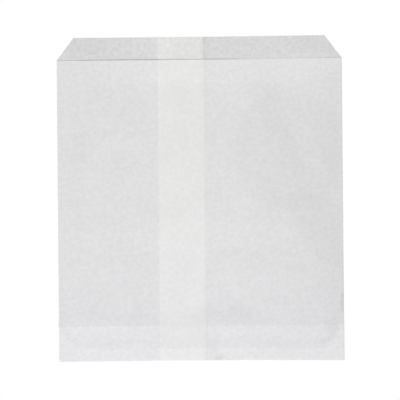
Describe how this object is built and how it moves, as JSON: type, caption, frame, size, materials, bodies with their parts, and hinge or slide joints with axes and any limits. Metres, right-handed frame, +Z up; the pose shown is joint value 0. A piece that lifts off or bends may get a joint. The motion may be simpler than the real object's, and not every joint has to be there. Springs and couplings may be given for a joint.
{
  "type": "paper bag",
  "caption": "Flat bag of thin bleached paper with a lapped and glued back seam, a folded and glued bottom and a stepped mouth with a cut-cornered lip.",
  "frame": {"origin": "centre of the bag's footprint on the surface it lies on", "axes": "+Z up from the back panel to the front panel, +Y from the folded bottom to the mouth, +X to the right of someone looking at the front panel"},
  "size_m": [0.2, 0.227, 0.0021],
  "materials": {
    "paper": "matte"
  },
  "bodies": {
    "root": {"paper_bag": "paper"}
  },
  "joints": []
}
